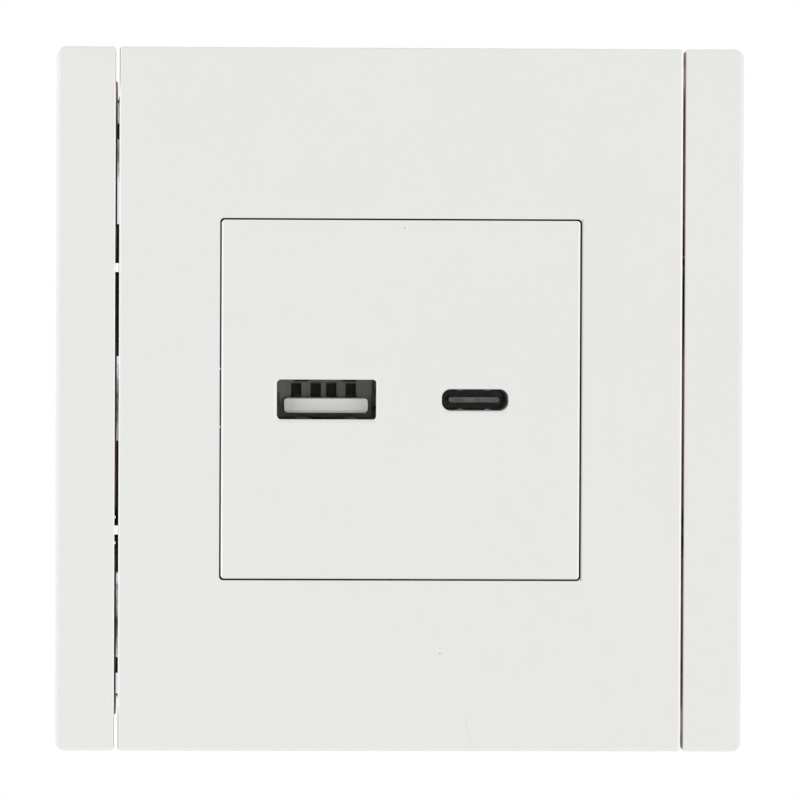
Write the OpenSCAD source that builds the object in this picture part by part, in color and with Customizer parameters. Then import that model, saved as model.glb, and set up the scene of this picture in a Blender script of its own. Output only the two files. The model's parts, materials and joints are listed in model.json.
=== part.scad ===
// A wall socket with two charging ports. A white cover of a centre plate and
// two side strips sits over a steel support frame, which holds a square
// charger module with one wide port and one narrow port.
// Millimetres. x runs to the right, y into the wall and z up. The wall's
// surface is at y = 0 and the middle of the fixing screws is the origin.

/* [Cover] */
// Height of the cover
cover_h = 88; // [86:1:96]
// Width of the plate between the two side strips
plate_w = 70.5; // [69.9:0.1:74]
// Width of each side strip
strip_w = 7.4; // [6:0.1:12]
// How far the cover's face stands off the wall
cover_depth = 9; // [8.6:0.1:11]
// Thickness of the cover's face
face_t = 2; // [1.6:0.1:2.4]
// Thickness of the cover's rims
rim_t = 1.5; // [1.2:0.1:2]
// Open seam between the left strip and the plate
left_gap = 0.5; // [0.2:0.05:0.8]
// Open seam between the right strip and the plate
right_gap = 0.3; // [0.2:0.05:0.8]
// Radius of the strips' outer corners
strip_corner_r = 1.4; // [0.6:0.1:3]
// Radius along the strips' outer edges
strip_edge_r = 0.7; // [0.3:0.1:1.2]
// Radius along the front edges of the plate
plate_edge_r = 0.25; // [0.1:0.05:0.6]

/* [Support frame] */
// How far the steel frame stands out past the plate on each side
frame_side_w = 0.3; // [0.1:0.05:0.45]
// How far the steel frame stays inside the cover at each end
frame_inset = 4; // [3:0.1:7]
// Thickness of the steel
frame_t = 1; // [0.8:0.1:1.4]
// Distance between two fixing screws
fixing_pitch = 60; // [59:0.5:61]
// Width of a fixing slot
slot_w = 4.2; // [3.6:0.1:4.6]
// Length of a fixing slot
slot_l = 7; // [6:0.1:7.4]

/* [Charger module] */
// Width and height of the module's front
module_w = 44.9; // [44.6:0.1:45.4]
// Open seam round the module
module_gap = 0.2; // [0.1:0.05:0.4]
// Thickness of the module's front
front_t = 1.8; // [1.5:0.1:2.2]
// How far the housing's walls stand inside the module's edge
body_step = 1.05; // [0.95:0.05:1.6]
// Thickness of the housing's walls
body_wall = 1.6; // [1.2:0.1:1.8]
// How far the housing reaches behind the wall's surface
body_depth = 22.4; // [22:0.1:25]
// Size of the cut corners that let the housing into a round box
body_chamfer = 4; // [3.2:0.1:5]

/* [Wide port] */
// Width of the opening
wide_w = 12.4; // [12.2:0.1:12.8]
// Height of the opening
wide_h = 5; // [4.8:0.1:5.3]
// Distance of its middle to the left of the module's middle, as a share of the module's width
wide_x_share = 0.2055; // [0.19:0.0005:0.22]
// Width of the tongue
tongue_w = 10.5; // [10:0.1:10.8]
// Thickness of the tongue
tongue_h = 1.88; // [1.6:0.02:1.9]

/* [Narrow port] */
// Width of the opening
narrow_w = 8.4; // [8.2:0.1:8.8]
// Height of the opening
narrow_h = 2.76; // [2.6:0.02:3]
// Distance of its middle to the right of the module's middle, as a share of the module's width
narrow_x_share = 0.208; // [0.19:0.0005:0.22]

/* [Boards] */
// Thickness of both circuit boards
board_t = 1.2; // [1:0.1:1.6]
// Depth of the port board's front face behind the wall's surface
port_board_y = 4; // [3.8:0.1:4.4]
// Height of the pads that carry the power board
pad_l = 2.2; // [2:0.1:2.6]

/* [Terminals] */
// Distance between the two terminals
terminal_pitch = 8; // [7.6:0.1:9]
// Bore for a wire
wire_hole_d = 2.6; // [2.2:0.1:2.8]
// Diameter of a terminal screw's thread
screw_d = 2.5; // [2.4:0.1:2.8]
// Diameter of a terminal screw's head
head_d = 3.8; // [3.4:0.1:4]
// How far a clamp cage rises when its screw is tightened
cage_travel = 1.8; // [1:0.1:1.9]

/* [Hidden] */
$fn = 48;

// Colours
white = [0.91, 0.91, 0.9];
port_grey = [0.76, 0.76, 0.74];
port_black = [0.1, 0.1, 0.1];
steel = [0.72, 0.73, 0.75];
board_green = [0.09, 0.33, 0.2];
brass_yellow = [0.78, 0.63, 0.3];
ferrite = [0.2, 0.2, 0.21];
tape_yellow = [0.85, 0.7, 0.2];
tan = [0.7, 0.6, 0.45];
sleeve_blue = [0.15, 0.17, 0.25];
coat_blue = [0.15, 0.3, 0.6];
coat_brown = [0.5, 0.2, 0.1];

// Clearances, the overrun of cuts, and how far a feature sinks into its own piece
overrun = 1;
sink = 0.2;
diagonal = sqrt(2);
slide_clear = 0.1;
turn_clear = 0.05;
seat_clear = 0.05;

// Where the cover and the module stand
face_y = -cover_depth;
face_back_y = face_y + face_t;
rim_back_y = -0.2;
window_w = module_w + 2 * module_gap;
frame_w = plate_w + 2 * frame_side_w;
frame_h = cover_h - 2 * frame_inset;
body_w = module_w - 2 * body_step;
wide_x = module_w * wide_x_share;
narrow_x = module_w * narrow_x_share;
front_back_y = face_y + front_t;

// Strips: their inner edges, rails and tongues
seam_left_x = -plate_w / 2 - left_gap;
seam_right_x = plate_w / 2 + right_gap;
strip_inner_r = 0.4;
rail_h = frame_h - 2 * slide_clear;
rail_t = 1.3;
rail_setback = 2;
rail_front_y = face_back_y + rail_setback;
return_inset = 0.6;
tongue_lug_z = 16.4;
tongue_lug_h = 1.1;
tongue_lug_t = 1.4;
tongue_lug_skin = 0.8;
tongue_lug_reach = 2.6;
left_pad_skin = 0.1;
right_pad_skin = tongue_lug_skin;
guide_rib_h = 0.3;
guide_rib_z = 1.6;

// Support frame: opening, bent flanges and their docking tabs
frame_open = body_w + 6 * slide_clear;
frame_corner_r = 2.4;
flange_t = 0.9;
tab_clear = 0.3;
tab_h = 2.3;
tab_front_y = face_back_y + tab_clear;
flange_front_y = tab_front_y + tab_h;
end_tab_inset = 4.2;
end_tab_z = frame_h / 2 - end_tab_inset;
inner_tab_share = 0.34;
inner_tab_z = frame_h * inner_tab_share;
lip_depth = 2.4;
lip_w_share = 0.62;
lip_w = frame_w * lip_w_share;
end_tab_w = 2.6;
long_tab_w = 10.6;
tabs = [
    [-end_tab_z, end_tab_w], [-inner_tab_z, long_tab_w], [0, long_tab_w],
    [inner_tab_z, long_tab_w], [end_tab_z, end_tab_w]
];

// Module: the seat ring on the steel frame, and the inside of the housing
ring_t = 1.6;
ring_front_y = -frame_t - ring_t;
inner_w = body_w - 2 * body_wall;
inner_back_y = body_depth - body_wall;
module_corner_r = 0.5;
module_edge_r = 0.2;
skirt_t = 1.3;
clip_w = 5;
clip_x = 11;
clip_t = 1.2;
clip_end_y = 3.4;
barb = 0.8;
hook_w = 7;
hook_out = 0.9;
lug_h = hook_w + 2 * slide_clear;
lug_notch_h = lug_h + 4 * slide_clear;
lug_reach = 1.6;
lug_root = 1.2;
lug_front_y = -2 * frame_t;

// Ports: both shells stand on the port board and end behind the front
shell_setback = 1;
shell_front_y = face_y + shell_setback;
wide_shell_t = 0.3;
wide_inner_w = wide_w + slide_clear;
wide_inner_h = wide_h + slide_clear;
wide_corner_r = 0.45;
tongue_top = 0.15;
tongue_setback = 1.5;
wide_base_l = 3;
wide_base_front_y = port_board_y - wide_base_l;
narrow_shell_t = 0.3;
narrow_inner_w = narrow_w - seat_clear;
narrow_inner_h = narrow_h - 2 * slide_clear;
narrow_tongue_w = 6.2;
narrow_tongue_h = 0.66;
narrow_tongue_setback = 0.7;
narrow_base_l = 5.6;
narrow_base_front_y = port_board_y - narrow_base_l;

board_w = inner_w - 2 * slide_clear;
port_board_back_y = port_board_y + board_t;
power_board_back_y = inner_back_y - pad_l;
power_board_y = power_board_back_y - board_t;
board_room = power_board_y - port_board_back_y;

// A flat outline drawn in x and z, carried from y = front back to y = back
module slab(front, back) {
    translate([0, back, 0]) rotate([90, 0, 0]) linear_extrude(back - front) children();
}

// A section drawn in x and y, carried up from z = low to z = high
module column(low, high) {
    translate([0, 0, low]) linear_extrude(high - low) children();
}

// A section drawn in y and z, carried across from x = left to x = right
module beam(left, right) {
    translate([left, 0, 0]) rotate([90, 0, 90]) linear_extrude(right - left) children();
}

// Puts a piece at a place given as x and z
module at(place) {
    translate([place[0], 0, place[1]]) children();
}

// A section drawn in z and y, carried across from x = left to x = right
module across(left, right) {
    beam(left, right) rotate([0, 0, 90]) mirror([0, 1]) children();
}

// A round bar along y
module bar_y(r, front, back) {
    translate([0, back, 0]) rotate([90, 0, 0]) cylinder(r = r, h = back - front);
}

// A rectangle about the origin with round corners
module round_rect(w, h, r) {
    square([w - 2 * r, h], center = true);
    square([w, h - 2 * r], center = true);
    for (sx = [-1, 1], sz = [-1, 1])
        translate([sx * (w / 2 - r), sz * (h / 2 - r)]) circle(r);
}

// A section w wide from front to back, with its two front corners rounded
module round_front(w, front, back, r) {
    translate([-w / 2, front + r]) square([w, back - front - r]);
    translate([r - w / 2, front]) square([w - 2 * r, r + r]);
    for (s = [-1, 1]) translate([s * (w / 2 - r), front + r]) circle(r);
}

// A square with its corners cut off
module cut_square(w, cut) {
    a = w / 2;
    b = a - cut;
    polygon([[-b, -a], [b, -a], [a, -b], [a, b], [b, a], [-b, a], [-a, b], [-a, -b]]);
}

// A slot of total length l and width w along the outline's first axis
module slot_outline(l, w) {
    square([l - w, w], center = true);
    for (s = [-1, 1]) translate([s * (l - w) / 2, 0]) circle(d = w);
}

// The white plate between the strips, with a window for the module. Notches
// in its side edges take the strips' tongues, and ribs behind it snap inside
// the steel frame's bent flanges.
rib_gap = 0.15;
rib_x = frame_w / 2 - flange_t - rib_gap;
rib_t = 1.4;
rib_end_y = -frame_t - seat_clear;
collar_t = 1.2;
collar_clear = 0.8;
collar_end_y = ring_front_y - collar_clear;
notch_reach = tongue_lug_reach + slide_clear;
post_r = 2.2;
post_side = 6.2;
post_x = plate_w / 2 - post_side;
post_inset = 3.4;
post_z = frame_h / 2 - post_inset;
module centre_plate() {
    color(white) difference() {
        union() {
            difference() {
                intersection() {
                    slab(face_y, rim_back_y) round_rect(plate_w, cover_h, strip_inner_r);
                    across(-plate_w / 2, plate_w / 2)
                        round_front(cover_h, face_y, rim_back_y, plate_edge_r);
                    column(-cover_h / 2, cover_h / 2)
                        round_front(plate_w, face_y, rim_back_y, plate_edge_r / 2);
                }
                slab(face_back_y, rim_back_y + overrun)
                    square([plate_w + overrun, cover_h - 2 * rim_t], center = true);
            }
            slab(face_back_y - sink, collar_end_y)
                round_rect(window_w + 2 * collar_t, window_w + 2 * collar_t, collar_t);
            for (s = [-1, 1], z = [-inner_tab_z, 0, inner_tab_z]) plate_rib(s, z);
            for (sx = [-1, 1], sz = [-1, 1])
                translate([sx * post_x, 0, sz * post_z]) bar_y(post_r, face_back_y - sink, -frame_t);
            for (s = [-1, 1], x = [-stiffener_x, stiffener_x])
                translate([x, 0, s * (window_w / 2 + collar_t)])
                    stiffener(s, (cover_h - window_w) / 2 - collar_t - rim_t);
        }
        slab(face_y - overrun, collar_end_y + overrun)
            round_rect(window_w, window_w, module_corner_r);
        for (s = [-1, 1], z = [-1, 1] * tongue_lug_z)
            translate([s * plate_w / 2, 0, z])
                slab(face_y + tongue_lug_skin - seat_clear, face_back_y + overrun)
                    square([2 * notch_reach, tongue_lug_h + 2 * slide_clear], center = true);
    }
}

// A snap rib with a small barb, standing on the back of the plate's face
plate_rib_h = 8;
barb_rise = 0.1;
module plate_rib(side, z) {
    x0 = rib_x - rib_t;
    column(z - plate_rib_h / 2, z + plate_rib_h / 2)
        scale([side, 1])
            polygon([
                [x0, face_back_y - sink], [rib_x, face_back_y - sink], [rib_x, rib_end_y - rib_t],
                [rib_x + barb_rise, rib_end_y - rib_t / 2], [rib_x - rib_t / 2, rib_end_y], [x0, rib_end_y]
            ]);
}

// A low web between the window's collar and the rim
stiffener_t = 1;
stiffener_d = 1.6;
stiffener_x = 14;
module stiffener(side, l) {
    slab(face_back_y - sink, face_back_y + stiffener_d)
        translate([0, side * l / 2]) square([stiffener_t, l + 2 * sink], center = true);
}

// One side strip. side is -1 on the left and 1 on the right, and seam_x is
// where its inner edge runs. Behind |z| < 40 a rail stands beside the steel
// flange; past its ends the seam is open right through.
module side_strip(side, seam_x, seam_gap, pad_skin) {
    outer = abs(seam_x) + strip_w;
    inner = abs(seam_x);
    rail_x = frame_w / 2 + seat_clear;
    color(white) scale([side, 1, 1]) {
        difference() {
            intersection() {
                slab(face_y, rim_back_y) strip_outline(inner, outer);
                column(-cover_h / 2, cover_h / 2) strip_section(inner, outer);
                across(inner - overrun, outer + overrun)
                    round_front(cover_h, face_y, rim_back_y, plate_edge_r);
            }
            slab(face_back_y, rim_back_y + overrun)
                translate([inner - overrun, -cover_h / 2 + rim_t])
                    square([outer - rim_t - inner + overrun, cover_h - 2 * rim_t]);
            slab(face_back_y, rim_back_y + overrun)
                translate([inner - overrun, -cover_h / 2 - overrun])
                    square([return_inset + overrun, cover_h + 2 * overrun]);
        }
        slab(face_back_y - sink, rail_front_y + sink)
            translate([inner + return_inset, -rail_h / 2]) square([rail_t, rail_h]);
        slab(rail_front_y, rim_back_y)
            translate([rail_x, -rail_h / 2]) square([inner + return_inset + rail_t - rail_x, rail_h]);
        for (z = [-1, 1] * tongue_lug_z) {
            slab(face_y + tongue_lug_skin, face_back_y - seat_clear)
                translate([inner - tongue_lug_reach, z - tongue_lug_h / 2])
                    square([tongue_lug_reach + sink, tongue_lug_h]);
            slab(face_y + pad_skin, face_back_y - seat_clear)
                translate([inner - seam_gap + seat_clear, z - tongue_lug_h / 2])
                    square([seam_gap - seat_clear + sink, tongue_lug_h]);
        }
        for (s = [-1, 1])
            slab(face_y + pad_skin, face_back_y - seat_clear)
                translate([inner, side * tongue_lug_z + s * guide_rib_z])
                    square(guide_rib_h, center = true);
        for (z = [-1, 0, 1] * inner_tab_z)
            slab(face_back_y - sink, face_back_y + stiffener_d)
                translate([inner + return_inset + rail_t - sink, z - stiffener_t / 2])
                    square([outer - rim_t - inner - return_inset - rail_t + 2 * sink, stiffener_t]);
    }
}

module strip_outline(inner, outer) {
    translate([inner, strip_inner_r - cover_h / 2])
        square([strip_w - strip_corner_r, cover_h - 2 * strip_inner_r]);
    translate([inner + strip_inner_r, -cover_h / 2])
        square([strip_w - strip_inner_r - strip_corner_r, cover_h]);
    translate([inner, strip_corner_r - cover_h / 2]) square([strip_w, cover_h - 2 * strip_corner_r]);
    for (s = [-1, 1]) {
        translate([outer - strip_corner_r, s * (cover_h / 2 - strip_corner_r)]) circle(strip_corner_r);
        translate([inner + strip_inner_r, s * (cover_h / 2 - strip_inner_r)]) circle(strip_inner_r);
    }
}

module strip_section(inner, outer) {
    translate([inner, face_y]) square([strip_w - strip_edge_r, cover_depth + rim_back_y]);
    translate([inner, face_y + strip_edge_r]) square([strip_w, cover_depth + rim_back_y - strip_edge_r]);
    translate([outer - strip_edge_r, face_y + strip_edge_r]) circle(strip_edge_r);
}

module left_side_strip() side_strip(-1, seam_left_x, left_gap, left_pad_skin);
module right_side_strip() side_strip(1, seam_right_x, right_gap, right_pad_skin);

// The galvanised plate that screws to the wall box: a square opening, slotted
// fixing holes, bent side flanges with docking tabs, and two end lips. On each
// side a lug steps forward by the sheet's thickness, so that the module's hook
// catches behind it without reaching past the wall's surface.
module support_frame() {
    color(steel) {
        difference() {
            slab(-frame_t, 0) round_rect(frame_w, frame_h, frame_corner_r);
            slab(-frame_t - overrun, overrun) {
                square(frame_open, center = true);
                square([frame_open + 2 * lug_reach, lug_notch_h], center = true);
            }
            for (s = [-1, 1]) {
                translate([s * fixing_pitch / 2, 0, 0])
                    slab(-frame_t - overrun, overrun) slot_outline(slot_l, slot_w);
                translate([0, 0, s * fixing_pitch / 2])
                    slab(-frame_t - overrun, overrun) rotate(90) slot_outline(slot_l, slot_w);
            }
        }
        for (s = [-1, 1]) {
            scale([s, 1, 1]) {
                slab(flange_front_y, sink - frame_t)
                    translate([frame_w / 2 - flange_t, frame_corner_r - frame_h / 2])
                        square([flange_t, frame_h - 2 * frame_corner_r]);
                column(-lug_h / 2, lug_h / 2) translate([frame_open / 2, 0])
                    polygon([
                        [0, lug_front_y], [lug_reach + lug_root, lug_front_y],
                        [lug_reach + lug_root, sink - frame_t], [lug_reach, sink - frame_t],
                        [lug_reach, -frame_t], [0, -frame_t]
                    ]);
                for (tab = tabs)
                    slab(tab_front_y, flange_front_y + sink)
                        translate([frame_w / 2 - flange_t, tab[0] - tab[1] / 2]) square([flange_t, tab[1]]);
            }
            slab(-frame_t - lip_depth, sink - frame_t)
                translate([0, s * (frame_h - frame_t) / 2]) square([lip_w, frame_t], center = true);
        }
    }
}

// The front of the module: a shallow cup with the two port openings, pockets
// behind them for the shells, and four snap legs that reach into the housing.
window_y = 1.2;
window_d = 1.4;
leg_out = inner_w / 2 - slide_clear;
module front_cover() {
    color(white) difference() {
        union() {
            difference() {
                intersection() {
                    slab(face_y, ring_front_y) round_rect(module_w, module_w, module_corner_r);
                    column(-module_w / 2, module_w / 2)
                        round_front(module_w, face_y, ring_front_y, module_edge_r);
                    across(-module_w / 2, module_w / 2)
                        round_front(module_w, face_y, ring_front_y, module_edge_r);
                }
                slab(front_back_y, ring_front_y + overrun)
                    square(module_w - 2 * skirt_t, center = true);
            }
            for (sx = [-1, 1], sz = [-1, 1])
                translate([sx * clip_x, 0, 0]) scale([1, 1, sz]) snap_leg();
            for (x = [-wide_x, narrow_x])
                translate([x, 0, 0]) slab(front_back_y - sink, front_back_y + pocket_rim)
                    round_rect(wide_inner_w + 2 * pocket_wall, wide_inner_h + 2 * pocket_wall, pocket_wall);
        }
        translate([-wide_x, 0, 0]) {
            slab(face_y - overrun, front_back_y) round_rect(wide_w, wide_h, wide_corner_r);
            slab(shell_front_y, front_back_y + overrun + pocket_rim)
                wide_outline(wide_shell_t + seat_clear);
        }
        translate([narrow_x, 0, 0]) {
            slab(face_y - overrun, front_back_y) round_rect(narrow_w, narrow_h, narrow_corner_r);
            slab(shell_front_y, front_back_y + overrun + pocket_rim)
                narrow_outline(narrow_shell_t + seat_clear);
        }
    }
}
pocket_rim = 1.2;
pocket_wall = 1.2;

module snap_leg() {
    beam(-clip_w / 2, clip_w / 2)
        polygon([
            [front_back_y - sink, leg_out - clip_t], [clip_end_y, leg_out - clip_t],
            [clip_end_y, leg_out - clip_t / 2],
            [window_y + window_d - slide_clear, leg_out], [window_y + window_d / 2, leg_out + barb],
            [window_y + slide_clear, leg_out + barb], [window_y + slide_clear, leg_out],
            [front_back_y - sink, leg_out]
        ]);
}

// The housing: a seat ring on the steel, a box with cut corners behind it,
// bosses and pads for the boards, snap windows, side hooks and air slots.
body_edge_r = 0.8;
boss_share = 0.41;
boss_at = inner_w * boss_share;
boss_r = 1.7;
boss_pin_r = 0.8;
pad_share = 0.44;
pad_at = inner_w * pad_share;
pad_r = 1.4;
vent_w = 1.2;
vent_l = 8;
vent_y = 11;
vent_pitch = 4;
inner_chamfer = body_chamfer + diagonal * body_wall - 2 * body_wall;
hook_y = slide_clear - frame_t;
hook_back_y = 3.4;
hook_cut = 0.8;
module module_housing() {
    color(white) difference() {
        union() {
            difference() {
                union() {
                    slab(ring_front_y, -frame_t) round_rect(module_w, module_w, module_corner_r);
                    intersection() {
                        slab(-frame_t - sink, body_depth) cut_square(body_w, body_chamfer);
                        column(-body_w, body_w) mirror([0, 1])
                            round_front(body_w, -body_depth, frame_t + overrun, body_edge_r);
                        beam(-body_w, body_w) rotate(90)
                            round_front(body_w, -body_depth, frame_t + overrun, body_edge_r);
                    }
                }
                slab(ring_front_y - overrun, inner_back_y) cut_square(inner_w, inner_chamfer);
            }
            for (sx = [-1, 1], sz = [-1, 1])
                at([sx * boss_at, sz * boss_at]) {
                    bar_y(boss_r, port_board_back_y, inner_back_y + sink);
                    bar_y(boss_pin_r, port_board_y - slide_clear, port_board_back_y + sink);
                }
            for (p = [[-1, 0], [1, 0], [0, 1]])
                at(pad_at * p) bar_y(pad_r, power_board_back_y, inner_back_y + sink);
            for (s = [-1, 1]) scale([s, 1, 1]) side_hook();
        }
        for (s = [-1, 1]) {
            for (x = [-clip_x, clip_x])
                translate([x, 0, s * body_w / 2])
                    slab(window_y, window_y + window_d)
                        square([clip_w + 2 * slide_clear, 2 * body_wall + slide_clear], center = true);
            for (side = [-1, 1])
                translate([s * body_w / 2, 0, side * (hook_w / 2 + hook_cut / 2)])
                    slab(hook_y, hook_back_y + hook_w / 2)
                        square([2 * body_wall + slide_clear, hook_cut], center = true);
            slab(lug_front_y - slide_clear, -frame_t + seat_clear)
                translate([s * (frame_open / 2 + lug_reach), 0])
                    square([2 * (lug_reach + slide_clear), lug_h + 2 * slide_clear], center = true);
        }
        for (i = [-2:2])
            translate([i * vent_pitch, 0, body_w / 2])
                slab(vent_y - vent_l / 2, vent_y + vent_l / 2)
                    square([vent_w, 2 * body_wall + slide_clear], center = true);
        slab(power_board_back_y, body_depth + overrun)
            translate([-block_w / 2 - slide_clear, -body_w / 2 - overrun])
                square([block_w + 2 * slide_clear, block_top_z + slide_clear + body_w / 2 + overrun]);
    }
}

// A ramp on the housing's side that snaps behind the steel
module side_hook() {
    column(-hook_w / 2, hook_w / 2)
        polygon([
            [body_w / 2 - sink, hook_y], [body_w / 2 + hook_out, hook_y],
            [body_w / 2 + hook_out, hook_y + hook_out / 2], [body_w / 2, hook_back_y],
            [body_w / 2 - sink, hook_back_y]
        ]);
}

// Outlines of the two shells, grown by t all round
module wide_outline(t) {
    round_rect(wide_inner_w + 2 * t, wide_inner_h + 2 * t, wide_corner_r + t);
}
module narrow_outline(t) {
    round_rect(narrow_inner_w + 2 * t, narrow_inner_h + 2 * t, narrow_shell_r + t);
}
narrow_corner_r = 1.15;
narrow_shell_r = narrow_corner_r - seat_clear;

// The wide port's folded steel shell with two spring fingers above and below,
// one on each side, and four feet in the port board.
finger_x = 3;
finger_w = 1.75;
finger_window_w = 2.5;
finger_setback = 1.4;
finger_l = 5.4;
finger_front_y = shell_front_y + finger_setback;
finger_back_y = finger_front_y + finger_l;
finger_dip = 0.4;
finger_t = 0.2;
foot_w = 1.2;
foot_l = 1;
foot_back_y = port_board_back_y + foot_l;
module wide_port_shell() {
    color(steel) translate([-wide_x, 0, 0]) {
        difference() {
            slab(shell_front_y, port_board_y) wide_outline(wide_shell_t);
            slab(shell_front_y - overrun, port_board_y + overrun) wide_outline(0);
            for (s = [-1, 1], x = [-1, 1] * finger_x)
                translate([x, 0, s * (wide_inner_h + wide_shell_t) / 2])
                    slab(finger_front_y, finger_back_y)
                        square([finger_window_w, 2 * wide_shell_t], center = true);
            slab(finger_front_y, finger_back_y)
                square([wide_inner_w + 4 * wide_shell_t, finger_window_w], center = true);
        }
        for (s = [-1, 1]) rotate([0, 90, 0])
            scale([1, 1, s]) shell_finger(wide_inner_w / 2);
        for (s = [-1, 1], x = [-1, 1] * finger_x)
            translate([x, 0, 0]) scale([1, 1, s]) shell_finger(wide_inner_h / 2);
        for (s = [-1, 1], x = [-1, 1] * finger_x)
            translate([x, 0, s * (wide_inner_h + wide_shell_t) / 2])
                slab(port_board_y - sink, foot_back_y)
                    square([foot_w, wide_shell_t], center = true);
    }
}

// A spring finger that hangs from its window's back edge and dips inwards.
// z0 is where the wall's inner side lies.
module shell_finger(z0) {
    mid_y = (finger_front_y + finger_back_y) / 2 - finger_dip;
    beam(-finger_w / 2, finger_w / 2)
        polygon([
            [finger_back_y + sink, z0], [mid_y, z0 - finger_dip], [finger_front_y + finger_dip, z0],
            [finger_front_y + finger_dip, z0 + finger_t], [mid_y, z0 - finger_dip + finger_t],
            [finger_back_y + sink, z0 + finger_t]
        ]);
}

// The wide port's moulded body: a base with four contact slots and the tongue
contact_in_x = 1;
contact_out_x = 3.5;
contact_x = [-contact_out_x, -contact_in_x, contact_in_x, contact_out_x];
contact_slot_w = 1.33;
contact_slot_h = 1.8;
contact_slot_d = 2.6;
tongue_r = 0.5;
module wide_port_insulator() {
    color(port_grey) translate([-wide_x, 0, 0]) difference() {
        union() {
            slab(wide_base_front_y, port_board_y)
                wide_outline(-seat_clear);
            slab(shell_front_y + tongue_setback, wide_base_front_y + sink)
                translate([0, tongue_top - tongue_h / 2]) round_rect(tongue_w, tongue_h, tongue_r);
        }
        for (x = contact_x) {
            translate([x, 0, tongue_top + contact_slot_h / 2])
                slab(wide_base_front_y - overrun, wide_base_front_y + contact_slot_d)
                    square([contact_slot_w, contact_slot_h], center = true);
            translate([x, 0, tongue_top])
                slab(shell_front_y + 2 * tongue_setback, port_board_y + overrun)
                    square([contact_w + 2 * seat_clear, 2 * contact_sink], center = true);
        }
    }
}

// Four springy blades along the tongue, with tails through the port board
contact_w = 1;
contact_sink = 0.25;
contact_t = 0.25;
contact_bump = 0.3;
module wide_port_contacts() {
    color(brass_yellow) translate([-wide_x, 0, 0])
        for (x = contact_x)
            translate([x, 0, tongue_top]) blade(shell_front_y + 2 * tongue_setback + seat_clear);
}
module blade(tip_y) {
    bump_y = tip_y + (wide_base_front_y - tip_y) / 3;
    beam(-contact_w / 2, contact_w / 2)
        polygon([
            [tip_y, -contact_sink], [tip_y, 0], [bump_y, contact_bump],
            [wide_base_front_y, contact_t - contact_sink], [foot_back_y, contact_t - contact_sink],
            [foot_back_y, -contact_sink], [wide_base_front_y, -contact_sink],
            [bump_y, contact_bump - contact_t], [tip_y + contact_t, -contact_sink]
        ]);
}

// The narrow port's drawn shell, with two pressed rings above and below
lance_x = 1.76;
lance_r = 0.45;
lance_t = 0.16;
lance_depth = 0.12;
lance_setback = 1.2;
lance_y = shell_front_y + lance_setback;
module narrow_port_shell() {
    color(steel) translate([narrow_x, 0, 0]) {
        difference() {
            slab(shell_front_y, port_board_y) narrow_outline(narrow_shell_t);
            slab(shell_front_y - overrun, port_board_y + overrun) narrow_outline(0);
        }
        for (s = [-1, 1], x = [-1, 1] * lance_x)
            translate([x, lance_y, s * (narrow_inner_h - lance_depth + sink) / 2])
                difference() {
                    cylinder(r = lance_r, h = lance_depth + sink, center = true);
                    translate([0, 0, -s * sink])
                        cylinder(r = lance_r - lance_t, h = lance_depth + sink, center = true);
                }
        for (s = [-1, 1], x = [-1, 1] * finger_x)
            translate([x, 0, s * (narrow_inner_h + narrow_shell_t) / 2])
                slab(port_board_y - sink, foot_back_y)
                    square([foot_w, narrow_shell_t], center = true);
    }
}

// The narrow port's moulded body, with its thin tongue in the middle
module narrow_port_insulator() {
    color(port_black) translate([narrow_x, 0, 0]) difference() {
        union() {
            slab(narrow_base_front_y, port_board_y)
                narrow_outline(-seat_clear);
            slab(shell_front_y + narrow_tongue_setback, narrow_base_front_y + sink)
                round_rect(narrow_tongue_w, narrow_tongue_h, narrow_tongue_h / 3);
        }
        for (s = [-1, 1], i = [0:pad_count - 1])
            translate([pad_x(i), 0, s * (narrow_tongue_h - contact_film) / 2])
                slab(pad_front_y, port_board_y + overrun)
                    square([pad_w, contact_film], center = true);
    }
}

// Twelve contacts on each side of the thin tongue
pad_count = 12;
pad_pitch = 0.5;
pad_w = 0.26;
contact_film = 0.12;
pad_front_y = shell_front_y + 2 * narrow_tongue_setback;
function pad_x(i) = (i - (pad_count - 1) / 2) * pad_pitch;
module narrow_port_contacts() {
    color(brass_yellow) translate([narrow_x, 0, 0])
        for (s = [-1, 1], i = [0:pad_count - 1])
            translate([pad_x(i), 0, s * (narrow_tongue_h - contact_film) / 2])
                slab(pad_front_y, port_board_y) square([pad_w, contact_film], center = true);
}

// Terminals, placed on the back of the power board
block_w = 2 * terminal_pitch;
block_inset = 1.9;
block_z = block_inset - body_w / 2;
block_h = 9;
block_top_z = block_z + block_h;
block_wall = 1.6;
block_floor = 0.6;
chamber_w_share = 0.7;
chamber_w = terminal_pitch * chamber_w_share;
chamber_h = 5.8;
chamber_z = block_z + block_wall;
chamber_top_z = chamber_z + chamber_h;
screw_z = chamber_z + chamber_h / 2;
cage_w = chamber_w - 4 * slide_clear;
cage_h = chamber_h - 4 * slide_clear;
cage_side_t = 0.7;
cage_floor_t = 0.7;
cage_roof_t = 0.9;
cage_room = 3.7;
cage_front_y = power_board_back_y + block_floor + 2 * slide_clear;
cage_back_y = cage_front_y + cage_floor_t + cage_room + cage_roof_t;
chamber_back_y = cage_back_y + cage_travel + 3 * slide_clear;
wire_y = cage_front_y + cage_floor_t + wire_hole_d / 2 + slide_clear;
head_t = 1.2;
head_recess = 0.3;
head_bevel = 0.3;
head_slot_w = 0.6;
head_slot_d = 0.6;
head_front_y = chamber_back_y + slide_clear;
block_back_y = head_front_y + head_t + head_recess;
bar_t = 0.8;
bar_w = 3.4;
bar_tail_w = 1.4;
bar_web = 0.4;
bar_back_y = cage_back_y - cage_roof_t - seat_clear;
bar_front_y = bar_back_y - bar_t;
bar_end_z = chamber_top_z + bar_t + bar_web;

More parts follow.
